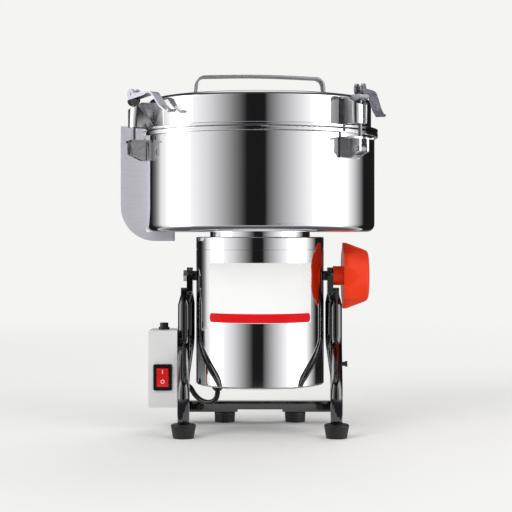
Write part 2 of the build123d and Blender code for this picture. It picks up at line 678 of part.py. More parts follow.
with BuildPart() as neck_flange:
    round_bar(level(CASING_TOP), NECK_R, NECK_H, bore=SEAL_R)
    with PolarLocations(NECK_BOLT_R, NECK_BOLTS):
        Cylinder(SCREW_R + SNUG, 4 * BOWL_BOTTOM, mode=Mode.SUBTRACT)

with BuildPart() as bowl:
    round_bar(level(BOWL_BOTTOM), BOWL_R, RIM_Z - BOWL_BOTTOM)
    fillet(bowl.edges().sort_by(Axis.Z)[0], BOWL_CORNER)
    offset(amount=-SHEET, openings=bowl.faces().sort_by(Axis.Z)[-1])
    round_bar(level(RIM_Z - RIM_T), RIM_R, RIM_T, bore=BOWL_R - SHEET)
    fillet(bowl.edges().filter_by(GeomType.CIRCLE).filter_by(lambda e: e.radius > RIM_R - 0.1), 1.5)
    Cylinder(SEAL_R, 4 * BOWL_BOTTOM, mode=Mode.SUBTRACT)
    with PolarLocations(NECK_BOLT_R, NECK_BOLTS):
        Cylinder(SCREW_R + SNUG, 4 * BOWL_BOTTOM, mode=Mode.SUBTRACT)

with BuildPart() as shaft_seal:
    round_bar(level(CASING_TOP + SNUG), SEAL_R - SNUG, NECK_H + 2 * SHEET, bore=SHAFT_R + RUNNING)

EAR_Y = EYE_W / 2 + APART
with BuildPart() as bowl_bracket:
    reach, high = EAR_OUT - BOWL_R, EAR_HIGH - EAR_LOW
    with BuildSketch(Plane.XZ) as ear:
        with BuildLine():
            Polyline((0, 0), (EAR_FOOT, 0), (reach, EAR_TAPER), (reach, high), (0, high), close=True)
        make_face()
    extrude(ear.sketch, amount=EAR_Y + EAR_T, both=True)
    extrude(ear.sketch, amount=EAR_Y, both=True, mode=Mode.SUBTRACT)
    with Locations((0, 0, high / 2)):
        Box(2 * PLATE_T, PLATE_W, high)
    with Locations((reach / 2, 0, high + PLATE_T / 2)):
        Box(reach, PLATE_W, PLATE_T)
    with Locations((reach, 0, high + PLATE_T / 2)):
        Box(2 * (EAR_OUT - CLAMP_R + SLOT_W), SLOT_W, 2 * PLATE_T, mode=Mode.SUBTRACT)

with BuildPart() as bowl_brackets:
    with Locations(*[clamp_place(a, BOWL_R, 0, EAR_LOW) for a in CLAMP_ANGLES]):
        add(bowl_bracket.part)
    for a in CLAMP_ANGLES:
        round_bar(clamp_plane(a, CLAMP_R, CLAMP_PIN_Z).offset(-PLATE_W), CLAMP_PIN_R + SNUG,
                  2 * PLATE_W, mode=Mode.SUBTRACT)
    Cylinder(BOWL_R, 4 * RIM_Z, mode=Mode.SUBTRACT)

with BuildPart() as bracket_pins:
    for a in CLAMP_ANGLES:
        middle = clamp_plane(a, CLAMP_R, CLAMP_PIN_Z)
        reach = EAR_Y + EAR_T
        round_bar(middle.offset(-reach), CLAMP_PIN_R, 2 * reach)
        round_bar(middle.offset(reach), PIN_HEAD_R, PIN_HEAD_H)
        round_bar(middle.offset(-reach), PIN_HEAD_R, -PIN_HEAD_H)

with BuildPart() as tilt_grip:
    with BuildSketch(facing_front(0, GRIP_FRONT + GRIP_T, 0)) as outline:
        with BuildLine():
            Polyline((-GRIP_IN, GRIP_TOP), (-GRIP_OUT, GRIP_TOP), (-GRIP_OUT, GRIP_BOTTOM + GRIP_CORNER))
            RadiusArc((-GRIP_OUT, GRIP_BOTTOM + GRIP_CORNER), (-GRIP_OUT + GRIP_CORNER, GRIP_BOTTOM),
                      -GRIP_CORNER)
            Polyline((-GRIP_OUT + GRIP_CORNER, GRIP_BOTTOM), (-GRIP_IN, GRIP_BOTTOM),
                     (-GRIP_IN, GRIP_TOP))
        make_face()
    extrude(outline.sketch, amount=GRIP_T)
    with BuildSketch(facing_front(0, GRIP_FRONT + GRIP_T, 0)) as pocket:
        add(outline.sketch_local)
        offset(amount=-SHEET)
    extrude(pocket.sketch, amount=GRIP_T - SHEET, mode=Mode.SUBTRACT)
    with Locations((0, 0, BOWL_BOTTOM)):
        Cylinder(BOWL_R, 2 * BOWL_R, align=(Align.CENTER, Align.CENTER, Align.MIN),
                 mode=Mode.SUBTRACT)
    with Locations((0, 0, RIM_Z - RIM_T - APART)):
        Cylinder(RIM_R + 2 * APART, BOWL_R, align=(Align.CENTER, Align.CENTER, Align.MIN),
                 mode=Mode.SUBTRACT)


# Lid with its handle and brackets

with BuildPart() as lid_shell:
    round_bar(level(LID_BOTTOM), LID_R, LID_TOP - LID_BOTTOM)
    fillet(lid_shell.edges().sort_by(Axis.Z)[-1], LID_CORNER)
    offset(amount=-SHEET, openings=lid_shell.faces().sort_by(Axis.Z)[0])
    round_bar(level(LID_BOTTOM), RIM_R, LID_FLANGE_T, bore=LID_R - SHEET)
    fillet(lid_shell.edges().filter_by(GeomType.CIRCLE).filter_by(lambda e: e.radius > RIM_R - 0.1), 1)

with BuildPart() as lid_gasket:
    outer = BOWL_R - SHEET - 2 * APART
    round_bar(level(LID_BOTTOM - GASKET_H), outer, GASKET_H, bore=outer - GASKET_W)

HANDLE_H = HANDLE_TOP - LID_TOP
with BuildPart() as lid_handle:
    handle_plane = Plane(origin=(0, 0, LID_TOP), x_dir=(cos(radians(HANDLE_TURN)),
                         sin(radians(HANDLE_TURN)), 0),
                         z_dir=(sin(radians(HANDLE_TURN)), -cos(radians(HANDLE_TURN)), 0))
    with BuildSketch(handle_plane) as strap:
        with BuildLine() as path:
            half, top = HANDLE_SPAN / 2, HANDLE_H - HANDLE_T / 2
            bend_x = half - HANDLE_LEAN
            FilletPolyline((-half - HANDLE_FOOT, HANDLE_T / 2), (-half, HANDLE_T / 2),
                           (-bend_x, top - HANDLE_ARCH), (0, top), (bend_x, top - HANDLE_ARCH),
                           (half, HANDLE_T / 2), (half + HANDLE_FOOT, HANDLE_T / 2),
                           radius=[3, HANDLE_BEND, bend_x ** 2 / (2 * HANDLE_ARCH), HANDLE_BEND, 3])
        trace(line_width=HANDLE_T)
    extrude(strap.sketch, amount=HANDLE_W / 2, both=True)

LID_SEAT = LID_BOTTOM + LID_FLANGE_T
BEVEL_X = CLAMP_R - SADDLE_R * sin(radians(BEVEL))
BEVEL_Z = SADDLE_Z - SADDLE_R * cos(radians(BEVEL)) - RUNNING
with BuildPart() as lid_bracket:
    depth, height = EAR_OUT - LID_R, BRACKET_TOP - LID_SEAT
    with BuildSketch() as outside:
        with Locations((depth / 2 - 2, 0)):
            Rectangle(depth + 4, BRACKET_W)
        fillet(outside.vertices().group_by(Axis.X)[-1], BRACKET_BEND)
    extrude(outside.sketch, amount=height)
    with BuildSketch() as inside:
        add(outside.sketch)
        offset(amount=-BRACKET_T)
    extrude(inside.sketch, amount=height - BRACKET_T, mode=Mode.SUBTRACT)
    with Locations((depth, 0, height / 2)):
        Box(2 * (EAR_OUT - CLAMP_R + SLOT_W), SLOT_W, 2 * height, mode=Mode.SUBTRACT)

with BuildPart() as lid_brackets:
    with Locations(*[clamp_place(a, LID_R, 0, LID_SEAT) for a in CLAMP_ANGLES]):
        add(lid_bracket.part)
        run = 3 * depth
        with Locations(Location((BEVEL_X - LID_R, 0, BEVEL_Z - LID_SEAT), (0, BEVEL, 0))):
            Box(run, 2 * BRACKET_W, run, align=(Align.CENTER, Align.CENTER, Align.MIN),
                mode=Mode.SUBTRACT)
    Cylinder(LID_R, 4 * RIM_Z, mode=Mode.SUBTRACT)


# Clamps: a bolt that swings on its pin, and a lever on the bolt's head


def build_swing_bolt(angle, turn):
    with BuildPart() as bolt:
        round_bar(clamp_plane(angle, CLAMP_R, CLAMP_PIN_Z).offset(-EYE_W / 2), EYE_R, EYE_W)
        round_bar(level(CLAMP_PIN_Z).move(clamp_place(angle, CLAMP_R)), BOLT_R,
                  SADDLE_TOP - CLAMP_PIN_Z)
        round_bar(clamp_plane(angle, CLAMP_R, SADDLE_Z).offset(-SADDLE_LENGTH / 2), SADDLE_R,
                  SADDLE_LENGTH)
        split(bisect_by=level(SADDLE_TOP), keep=Keep.BOTTOM)
        tongue = clamp_plane(angle, CLAMP_R, 0, turn + 90)
        with BuildSketch(tongue.offset(-TONGUE_T / 2)) as blade:
            with Locations((0, CAM_Z)):
                Circle(TONGUE_R)
            with Locations((0, (CAM_Z + SADDLE_TOP) / 2 - 0.5)):
                Rectangle(2 * BOLT_R, CAM_Z - SADDLE_TOP + 1)
        extrude(blade.sketch, amount=TONGUE_T)
        round_bar(clamp_plane(angle, CLAMP_R, CAM_Z, turn + 90).offset(-TONGUE_T),
                  CAM_PIN_R + RUNNING, 2 * TONGUE_T, mode=Mode.SUBTRACT)
        round_bar(clamp_plane(angle, CLAMP_R, CLAMP_PIN_Z).offset(-EYE_W), CLAMP_PIN_R + RUNNING,
                  2 * EYE_W, mode=Mode.SUBTRACT)
    return bolt


def build_lever(angle, turn):
    """Two cam cheeks on a pin, and the handle strip that joins them. The plane's X runs out along
    the lever and its Y up."""
    side = clamp_plane(angle, CLAMP_R, CAM_Z, turn + 90)
    with BuildPart() as lever:
        round_bar(side.offset(-CAM_W / 2), CAM_R, CAM_W)
        with BuildSketch(side.offset(-CAM_W / 2)) as flanks:
            with BuildLine():
                Polyline((0, -CAM_R), (LEVER_FLAT * 0.8, -3), (LEVER_FLAT, -1), (LEVER_FLAT, 1),
                         (0, 1), (0, -CAM_R))
            make_face()
        extrude(flanks.sketch, amount=CAM_W)
        with BuildSketch(side.offset(-TONGUE_T / 2 - APART)) as slot:
            with Locations((CAM_R + 2 - 2 * CAM_R, 0)):
                Rectangle(4 * CAM_R, 3 * CAM_R)
        extrude(slot.sketch, amount=TONGUE_T + 2 * APART, mode=Mode.SUBTRACT)
        with BuildSketch(side.offset(-CAM_W / 2 + LEVER_T)) as hollow:
            with BuildLine():
                Polyline((CAM_R + 2, -CAM_R), (LEVER_FLAT - 2, -CAM_R), (LEVER_FLAT - 2, -1.2),
                         (CAM_R + 2, -1.2), (CAM_R + 2, -CAM_R))
            make_face()
        extrude(hollow.sketch, amount=CAM_W - 2 * LEVER_T, mode=Mode.SUBTRACT)
        with BuildSketch(side.offset(-CAM_W / 2)) as strip:
            with BuildLine() as path:
                FilletPolyline((LEVER_FLAT - 3, 0), (LEVER_FLAT + LEVER_STEP, -1),
                               (LEVER_REACH - 18, -LEVER_DROP * 0.7),
                               (LEVER_REACH - LEVER_HOOK, -LEVER_DROP),
                               (LEVER_REACH, -LEVER_DROP + LEVER_HOOK / 2), radius=LEVER_BENDS)
            trace(line_width=LEVER_T)
        extrude(strip.sketch, amount=CAM_W)
        round_bar(side.offset(-CAM_W / 2 - RIVET_PROUD), CAM_PIN_R, CAM_W + 2 * RIVET_PROUD)
    return lever


swing_bolts = [build_swing_bolt(a, t) for a, t in zip(CLAMP_ANGLES, LEVER_TURNS)]
cam_levers = [build_lever(a, t) for a, t in zip(CLAMP_ANGLES, LEVER_TURNS)]


# Motor

with BuildPart() as end_shields:
    for low, hub_low in ((LOWER_SHIELD_Z, LOWER_SHIELD_Z - BEARING_W + SHIELD_T),
                         (UPPER_SHIELD_Z, UPPER_SHIELD_Z)):
        round_bar(level(low), LIP_R - SHEET - SNUG if low < STATOR_LOW else LIP_R, SHIELD_T)
        round_bar(level(hub_low), BEARING_R + 5, BEARING_W)
    with PolarLocations(COVER_SCREW_R, BOTTOM_SCREWS):
        Cylinder(9, 4 * CASING_TOP, mode=Mode.SUBTRACT)
    Cylinder(BEARING_R, 4 * CASING_TOP, mode=Mode.SUBTRACT)

with BuildPart() as motor_bearings:
    for low in (LOWER_SHIELD_Z - BEARING_W + SHIELD_T, UPPER_SHIELD_Z):
        round_bar(level(low), BEARING_R, BEARING_W, bore=SHAFT_R + RUNNING)

with BuildPart() as stator_core:
    round_bar(level(STATOR_LOW), LIP_R, STATOR_H, bore=STATOR_BORE)
    with PolarLocations(LIP_R, STATOR_SLOTS, start_angle=45):
        Cylinder(STATOR_SLOT_R, 4 * STATOR_LOW, mode=Mode.SUBTRACT)

with BuildPart() as field_coils:
    round_bar(level(STATOR_LOW), COIL_OUT, -COIL_H, bore=COIL_IN)
    round_bar(level(STATOR_LOW + STATOR_H), COIL_OUT, COIL_H, bore=COIL_IN)
    fillet(field_coils.edges().filter_by(GeomType.CIRCLE).group_by(Axis.Z)[0], 3)
    fillet(field_coils.edges().filter_by(GeomType.CIRCLE).group_by(Axis.Z)[-1], 3)

with BuildPart() as brush_holders:
    middle_z = COMMUTATOR_Z + COMMUTATOR_H / 2
    for y in SIDES:
        with Locations((0, y * (COMMUTATOR_R + 2 + HOLDER_OUT) / 2, middle_z)):
            Box(HOLDER_W, HOLDER_OUT - COMMUTATOR_R - 2, HOLDER_W)
        low = LOWER_SHIELD_Z + SHIELD_T
        with Locations((0, y * (HOLDER_OUT - HOLDER_FOOT / 2), (low + middle_z) / 2)):
            Box(HOLDER_W, HOLDER_FOOT, middle_z - low)
        with Locations((0, y * COMMUTATOR_R, middle_z)):
            Box(BRUSH_W + 2 * SNUG, 4 * COMMUTATOR_R, BRUSH_W + 2 * SNUG, mode=Mode.SUBTRACT)

with BuildPart() as carbon_brushes:
    for y in SIDES:
        with Locations((0, y * (COMMUTATOR_R + 1), middle_z)):
            Box(BRUSH_W, BRUSH_LENGTH, BRUSH_W, align=(Align.CENTER, Align.MIN if y > 0 else Align.MAX,
                                             Align.CENTER))
    Cylinder(COMMUTATOR_R + 2 * RUNNING, 4 * COMMUTATOR_Z, mode=Mode.SUBTRACT)

with BuildPart() as motor_shaft:
    round_bar(level(SHAFT_LOW), SHAFT_R, CUTTER_Z - SHAFT_LOW)
    round_bar(level(CUTTER_Z), SPINDLE_R, 3 * CUTTER_T + 2 * SPACER_H + NUT_H + 3)

with BuildPart() as rotor_core:
    round_bar(level(STATOR_LOW), STATOR_BORE - AIR_GAP, STATOR_H, bore=SHAFT_R)
    with PolarLocations(STATOR_BORE - AIR_GAP, 12):
        Cylinder(2.5, 4 * STATOR_LOW, mode=Mode.SUBTRACT)

with BuildPart() as commutator:
    round_bar(level(COMMUTATOR_Z), COMMUTATOR_R, COMMUTATOR_H, bore=SHAFT_R)
    round_bar(level(COMMUTATOR_Z + COMMUTATOR_H), COMMUTATOR_R - 4,
              STATOR_LOW - COMMUTATOR_Z - COMMUTATOR_H, bore=SHAFT_R)

with BuildPart() as cooling_fan:
    round_bar(level(FAN_Z), FAN_HUB_R, FAN_H, bore=SHAFT_R)
    round_bar(level(FAN_Z), FAN_R, FAN_SHEET, bore=SHAFT_R)
    with PolarLocations((FAN_HUB_R + FAN_R) / 2 - 1.5, FAN_BLADES):
        with Locations((0, 0, FAN_Z + FAN_H / 2)):
            Box(FAN_R - FAN_HUB_R + 1, FAN_SHEET, FAN_H)


# Cutters on the spindle

CUTTER_LEVELS = [CUTTER_Z + i * (CUTTER_T + SPACER_H) for i in range(3)]


def build_cutter(low, reach, turn):
    """A flat two-armed cutter that narrows to tips which are swept back."""
    root, tip = CUTTER_ROOT_W / 2, CUTTER_TIP_W / 2
    with BuildPart() as cutter:
        with BuildSketch(Plane(origin=(0, 0, low), x_dir=(cos(radians(turn)), sin(radians(turn)), 0),
                               z_dir=(0, 0, 1))) as outline:
            with BuildLine():
                Polyline((-reach, -tip - 6), (-reach * 0.3, -root), (reach * 0.3, -root),
                         (reach - 8, -tip + 4), (reach, tip + 6), (reach * 0.3, root),
                         (-reach * 0.3, root), (-reach + 8, tip - 4), close=True)
            make_face()
            Circle(SPINDLE_R, mode=Mode.SUBTRACT)
        extrude(outline.sketch, amount=CUTTER_T)
        chamfer(cutter.edges().filter_by(Axis.Z, reverse=True).filter_by(GeomType.LINE)
                .group_by(Axis.Z)[-1], 0.8)
    return cutter


lower_cutter, middle_cutter, upper_cutter = [
    build_cutter(low, BOWL_R - short, turn)
    for low, short, turn in zip(CUTTER_LEVELS, CUTTER_SHORT, CUTTER_TURNS)]

with BuildPart() as cutter_spacers:
    for low in CUTTER_LEVELS[:2]:
        round_bar(level(low + CUTTER_T), SPACER_R, SPACER_H, bore=SPINDLE_R)

with BuildPart() as cutter_nut:
    with BuildSketch(level(CUTTER_LEVELS[2] + CUTTER_T)) as outline:
        RegularPolygon(NUT_ACROSS / 2, 6, major_radius=False)
        Circle(SPINDLE_R, mode=Mode.SUBTRACT)
    extrude(outline.sketch, amount=NUT_H)


# Motor lead: straight runs joined by arcs as large as the runs allow

def lead_radii(points):
    radii = []
    for before, corner, after in zip(points, points[1:], points[2:]):
        run_in, run_out = Vector(*corner) - Vector(*before), Vector(*after) - Vector(*corner)
        half_turn = radians(run_in.get_angle(run_out)) / 2
        radii.append(0.45 * min(run_in.length, run_out.length) / tan(half_turn))
    return radii


LEAD_RADII = lead_radii(LEAD_ROUTE)
print("lead radii", [round(r, 1) for r in LEAD_RADII])

with BuildPart() as motor_lead:
    with BuildLine() as lead_line:
        FilletPolyline(*LEAD_ROUTE, radius=LEAD_RADII)
    with BuildSketch(Plane(origin=LEAD_ROUTE[0], z_dir=(0, 0, -1))) as lead_section:
        Circle(LEAD_R)
    sweep(lead_section.sketch, path=lead_line.line)
lead_length = sum(edge.length for edge in lead_line.edges())
print("lead length", round(lead_length, 1), "volume", round(motor_lead.part.volume),
      "section times length", round(lead_section.sketch.area * lead_length))


NODES = {
    "left_post": left_post, "right_post": right_post,
    "left_front_leg": left_front_leg, "right_front_leg": right_front_leg, "rear_bar": rear_bar,
    "front_feet": front_feet, "rear_feet": rear_feet, "foot_screws": foot_screws,
    "frame_screws": frame_screws, "pivot_bushes": pivot_bushes,
    "switch_box": switch_box, "box_cover": box_cover, "box_screws": box_screws,
    "switch_housing": switch_housing, "switch_rocker": switch_rocker,
    "mains_gland": mains_gland, "lead_grommet": lead_grommet, "terminal_block": terminal_block,
    "motor_casing": motor_casing, "casing_collar": casing_collar, "bottom_cover": bottom_cover,
    "head_screws": head_screws, "casing_gland": casing_gland, "label_plate": label_plate,
    "pivot_bosses": pivot_bosses, "left_pivot_bolt": left_pivot_bolt,
    "right_pivot_stud": right_pivot_stud, "lock_knob": lock_knob, "neck_flange": neck_flange,
    "bowl": bowl, "shaft_seal": shaft_seal,
    "bowl_brackets": bowl_brackets, "bracket_pins": bracket_pins, "tilt_grip": tilt_grip,
    "lid_shell": lid_shell, "lid_gasket": lid_gasket, "lid_handle": lid_handle,
    "lid_brackets": lid_brackets, "end_shields": end_shields, "motor_bearings": motor_bearings,
    "stator_core": stator_core, "field_coils": field_coils, "brush_holders": brush_holders,
    "carbon_brushes": carbon_brushes, "motor_shaft": motor_shaft, "rotor_core": rotor_core,
    "commutator": commutator, "cooling_fan": cooling_fan, "lower_cutter": lower_cutter,
    "middle_cutter": middle_cutter, "upper_cutter": upper_cutter,
    "cutter_spacers": cutter_spacers, "cutter_nut": cutter_nut, "motor_lead": motor_lead,
}
for place, bolt, lever in zip(("front", "rear", "left"), swing_bolts, cam_levers):
    NODES[place + "_swing_bolt"] = bolt
    NODES[place + "_cam_lever"] = lever

os.makedirs("parts", exist_ok=True)
for name, built in NODES.items():
    built.part.label = name
    export_step(built.part, f"parts/{name}.step")
print(len(NODES), "nodes")
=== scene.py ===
from math import atan2, cos, pi, radians, sin, sqrt

import bpy
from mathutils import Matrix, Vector


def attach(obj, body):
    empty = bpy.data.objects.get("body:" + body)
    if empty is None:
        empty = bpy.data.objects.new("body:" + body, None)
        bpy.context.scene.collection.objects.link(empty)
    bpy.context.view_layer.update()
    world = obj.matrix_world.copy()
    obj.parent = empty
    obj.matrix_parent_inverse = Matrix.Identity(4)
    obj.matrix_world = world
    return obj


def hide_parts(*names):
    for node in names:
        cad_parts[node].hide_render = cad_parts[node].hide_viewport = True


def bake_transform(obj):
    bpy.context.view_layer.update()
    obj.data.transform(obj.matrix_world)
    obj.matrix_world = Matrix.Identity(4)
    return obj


# Electric spice grinder: mirror-polished bowl, lid and motor casing in a black stand.
# Metres throughout. -Y is the front, +X the right, +Z up, and the origin is on the table.

MM = 0.001

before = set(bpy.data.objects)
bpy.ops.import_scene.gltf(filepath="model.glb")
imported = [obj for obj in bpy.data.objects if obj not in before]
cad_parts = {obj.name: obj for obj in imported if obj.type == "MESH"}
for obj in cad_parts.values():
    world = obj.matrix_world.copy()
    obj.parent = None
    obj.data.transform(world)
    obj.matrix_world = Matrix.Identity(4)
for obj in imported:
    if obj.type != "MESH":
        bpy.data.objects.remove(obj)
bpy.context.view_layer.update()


# Camera

PHOTO_SIDE = 512                  # pixels, as the next three are
FOCAL = 1400
HORIZON_ROW = 236
AXIS_COLUMN = 260                 # where the motor's axis stands
CAMERA_AWAY = 1.68
CAMERA_HEIGHT = 0.232
SENSOR = 36                       # mm, Blender's own width
NEAREST, FARTHEST = 0.05, 60

camera_data = bpy.data.cameras.new("camera")
camera_data.sensor_width = SENSOR
camera_data.lens = FOCAL / PHOTO_SIDE * SENSOR
camera_data.shift_y = (HORIZON_ROW - PHOTO_SIDE / 2) / PHOTO_SIDE
camera_data.shift_x = (PHOTO_SIDE / 2 - AXIS_COLUMN) / PHOTO_SIDE
camera_data.clip_start = NEAREST
camera_data.clip_end = FARTHEST
camera = bpy.data.objects.new("camera", camera_data)
camera.location = (0, -CAMERA_AWAY, CAMERA_HEIGHT)
camera.rotation_euler = (radians(90), 0, 0)
bpy.context.scene.collection.objects.link(camera)
bpy.context.scene.camera = camera
bpy.context.scene.view_settings.view_transform = "Standard"


# Colours and nodes

def linear(hex_code):
    """An sRGB hex colour as the linear values that a socket takes."""
    parts = [int(hex_code[i:i + 2], 16) / 255 for i in (1, 3, 5)]
    return [p / 12.92 if p <= 0.04045 else ((p + 0.055) / 1.055) ** 2.4 for p in parts] + [1]


def add(tree, kind, inputs=None, **settings):
    """Adds a node with its settings. Each input is a value, or the socket that feeds it."""
    made = tree.nodes.new(kind)
    for name, value in settings.items():
        setattr(made, name, value)
    for key, value in (inputs or {}).items():
        if isinstance(value, bpy.types.NodeSocket):
            tree.links.new(value, made.inputs[key])
        else:
            made.inputs[key].default_value = value
    return made


def new_material(name):
    """A material's tree, its surface shader and the place on the object, in metres."""
    made = bpy.data.materials.new(name)
    made.use_nodes = True
    tree = made.node_tree
    shader = next(n for n in tree.nodes if n.type == "BSDF_PRINCIPLED")
    place = add(tree, "ShaderNodeTexCoord").outputs["Object"]
    return made, tree, shader, place


def to_surface(tree, socket):
    """Links a shader to the material's surface, in place of its own."""
    surface = next(n for n in tree.nodes if n.type == "OUTPUT_MATERIAL")
    tree.links.new(socket, surface.inputs["Surface"])


def set_ramp(ramp_node, stops):
    """Stops are (position, colour), or (position, grey level)."""
    elements = ramp_node.color_ramp.elements
    while len(elements) < len(stops):
        elements.new(0.5)
    for element, (position, colour) in zip(elements, stops):
        element.position = position
        element.color = colour if isinstance(colour, list) else (colour, colour, colour, 1)


# Metals

def polished_steel():
    """Stainless sheet, buffed to a mirror after it was drawn: what it reflects is sharp, with only
    a faint unevenness from the buffing wheel and a few dull smears from hands."""
    made, tree, shader, place = new_material("stainless_mirror_polished")
    smears = add(tree, "ShaderNodeTexNoise", {"Vector": place, "Scale": 14, "Detail": 4})
    rough = add(tree, "ShaderNodeMapRange", {"Value": smears.outputs["Fac"], "From Min": 0.45,
                "From Max": 0.75, "To Min": 0.045, "To Max": 0.085})
    rows = add(tree, "ShaderNodeMapping", {"Vector": place, "Scale": (6, 6, 900)})
    buffed = add(tree, "ShaderNodeTexNoise", {"Vector": rows.outputs["Vector"], "Scale": 1,
                 "Detail": 2})
    bump = add(tree, "ShaderNodeBump", {"Height": buffed.outputs["Fac"], "Strength": 0.03,
               "Distance": 0.00002})
    shader.inputs["Base Color"].default_value = linear("#E7E7E9")
    shader.inputs["Metallic"].default_value = 1
    tree.links.new(rough.outputs["Result"], shader.inputs["Roughness"])
    tree.links.new(bump.outputs["Normal"], shader.inputs["Normal"])
    return made


def satin_steel(name, colour, grain, rough, metallic=1.0):
    """Steel finished on a belt, rolled or tumbled: fine scratches, drawn coarser than the real
    0.1 mm so that they show. grain is how fast the pattern changes along X, Y and Z."""
    made, tree, shader, place = new_material(name)
    stretched = add(tree, "ShaderNodeMapping", {"Vector": place, "Scale": grain})
    scratches = add(tree, "ShaderNodeTexNoise", {"Vector": stretched.outputs["Vector"], "Scale": 1,
                    "Detail": 3, "Roughness": 0.6})
    tone = add(tree, "ShaderNodeValToRGB", {"Fac": scratches.outputs["Fac"]})
    shade = linear(colour)
    set_ramp(tone, [(0.3, [c * 0.88 for c in shade[:3]] + [1]), (0.7, shade)])
    spread = add(tree, "ShaderNodeMapRange", {"Value": scratches.outputs["Fac"],
                 "To Min": rough - 0.06, "To Max": rough + 0.08})
    bump = add(tree, "ShaderNodeBump", {"Height": scratches.outputs["Fac"], "Strength": 0.25,
               "Distance": 0.00006})
    shader.inputs["Metallic"].default_value = metallic
    tree.links.new(tone.outputs["Color"], shader.inputs["Base Color"])
    tree.links.new(spread.outputs["Result"], shader.inputs["Roughness"])
    tree.links.new(bump.outputs["Normal"], shader.inputs["Normal"])
    return made


def turned_metal(name, colour, rough, ring_pitch):
    """Metal that was turned or ground on a lathe, with rings about Z a given pitch apart."""
    made, tree, shader, place = new_material(name)
    rings = add(tree, "ShaderNodeTexWave", {"Vector": place, "Scale": 1 / ring_pitch / 6.28,
                "Distortion": 0.6, "Detail": 1}, wave_type="BANDS", bands_direction="Z")
    grime = add(tree, "ShaderNodeTexNoise", {"Vector": place, "Scale": 60, "Detail": 3})
    tone = add(tree, "ShaderNodeValToRGB", {"Fac": grime.outputs["Fac"]})
    shade = linear(colour)
    set_ramp(tone, [(0.25, [c * 0.75 for c in shade[:3]] + [1]), (0.6, shade)])
    bump = add(tree, "ShaderNodeBump", {"Height": rings.outputs["Fac"], "Strength": 0.3,
               "Distance": ring_pitch / 8})
    shader.inputs["Metallic"].default_value = 1
    shader.inputs["Roughness"].default_value = rough
    tree.links.new(tone.outputs["Color"], shader.inputs["Base Color"])
    tree.links.new(bump.outputs["Normal"], shader.inputs["Normal"])
    return made


# Paints, plastics and rubber

def coated(name, colour, rough, grain_size, depth, coat=0.0, wear=0.9, shine=0.5):
    """Paint, plastic or rubber with a grain of its own: orange peel in a stoved enamel, a fine
    pebble in a powder coat, a matt skin on rubber. wear is how dark its dullest patches are, and
    shine how strongly it reflects, where 0.5 is usual for a plastic."""
    made, tree, shader, place = new_material(name)
    grain = add(tree, "ShaderNodeTexNoise", {"Vector": place, "Scale": 1 / grain_size,
                "Detail": 2})
    patches = add(tree, "ShaderNodeTexNoise", {"Vector": place, "Scale": 22, "Detail": 4})
    tone = add(tree, "ShaderNodeValToRGB", {"Fac": patches.outputs["Fac"]})
    shade = linear(colour)
    set_ramp(tone, [(0.3, [c * wear for c in shade[:3]] + [1]), (0.65, shade)])
    spread = add(tree, "ShaderNodeMapRange", {"Value": patches.outputs["Fac"],
                 "To Min": max(rough - 0.04, 0.03), "To Max": rough + 0.06})
    bump = add(tree, "ShaderNodeBump", {"Height": grain.outputs["Fac"], "Strength": 0.4,
               "Distance": depth})
    shader.inputs["Coat Weight"].default_value = coat
    shader.inputs["Specular IOR Level"].default_value = shine
    shader.inputs["Coat Roughness"].default_value = 0.05
    tree.links.new(tone.outputs["Color"], shader.inputs["Base Color"])
    tree.links.new(spread.outputs["Result"], shader.inputs["Roughness"])
    tree.links.new(bump.outputs["Normal"], shader.inputs["Normal"])
    return made


def layered(name, colours, pitch, axis, rough, metallic):
    """Sheets or turns that lie on each other a pitch apart, such as a core's laminations or a
    coil's wires, with a dark line between them."""
    made, tree, shader, place = new_material(name)
    rows = add(tree, "ShaderNodeTexWave", {"Vector": place, "Scale": 1 / pitch / 6.28,
               "Distortion": 0.4, "Detail": 1}, wave_type="BANDS", bands_direction=axis)
    tone = add(tree, "ShaderNodeValToRGB", {"Fac": rows.outputs["Fac"]})
    set_ramp(tone, [(0.1, linear(colours[0])), (0.5, linear(colours[1]))])
    bump = add(tree, "ShaderNodeBump", {"Height": rows.outputs["Fac"], "Strength": 0.6,
               "Distance": pitch / 5})
    shader.inputs["Metallic"].default_value = metallic
    shader.inputs["Roughness"].default_value = rough
    tree.links.new(tone.outputs["Color"], shader.inputs["Base Color"])
    tree.links.new(bump.outputs["Normal"], shader.inputs["Normal"])
    return made


MIRROR = polished_steel()
SATIN = satin_steel("stainless_satin_brushed", "#D2D2D6", (60, 60, 1400), 0.26)
SATIN_HARDWARE = satin_steel("stainless_pressed_hardware", "#E6E6E8", (400, 400, 60), 0.2)
LEVER_STEEL = satin_steel("stainless_tumbled_lever", "#C2C1CA", (500, 500, 500), 0.4)
ROD_STEEL = satin_steel("steel_rolled_rod", "#8C8D92", (600, 600, 80), 0.3)
HANDLE_STEEL = satin_steel("stainless_bent_strap", "#D2D2D4", (60, 900, 900), 0.46)
SATIN_GRIP = satin_steel("stainless_grip_brushed", "#EDECF4", (50, 50, 1600), 0.5, metallic=0.7)
BRIGHT_ZINC = satin_steel("zinc_plated_screw", "#C9CACC", (700, 700, 700), 0.24)
GROUND_STEEL = turned_metal("steel_ground", "#C8C9CB", 0.22, 0.0006)
CUTTER_STEEL = satin_steel("stainless_cutter_ground", "#D6D7D9", (900, 120, 120), 0.2)
CAST_ALUMINIUM = turned_metal("aluminium_cast_and_turned", "#B9BABD", 0.42, 0.0012)
COPPER_BAR = turned_metal("copper_commutator_turned", "#C9784A", 0.25, 0.0005)
CORE = layered("electrical_steel_laminations", ("#1B1C1F", "#5A5C61"), 0.0010, "Z", 0.45, 1)
WINDING = layered("enamelled_copper_wire", ("#4A1D0C", "#C5682F"), 0.0012, "Z", 0.3, 1)
ENAMEL = coated("black_stoved_enamel", "#050506", 0.07, 0.0022, 0.00004, coat=1.0, shine=1.0)
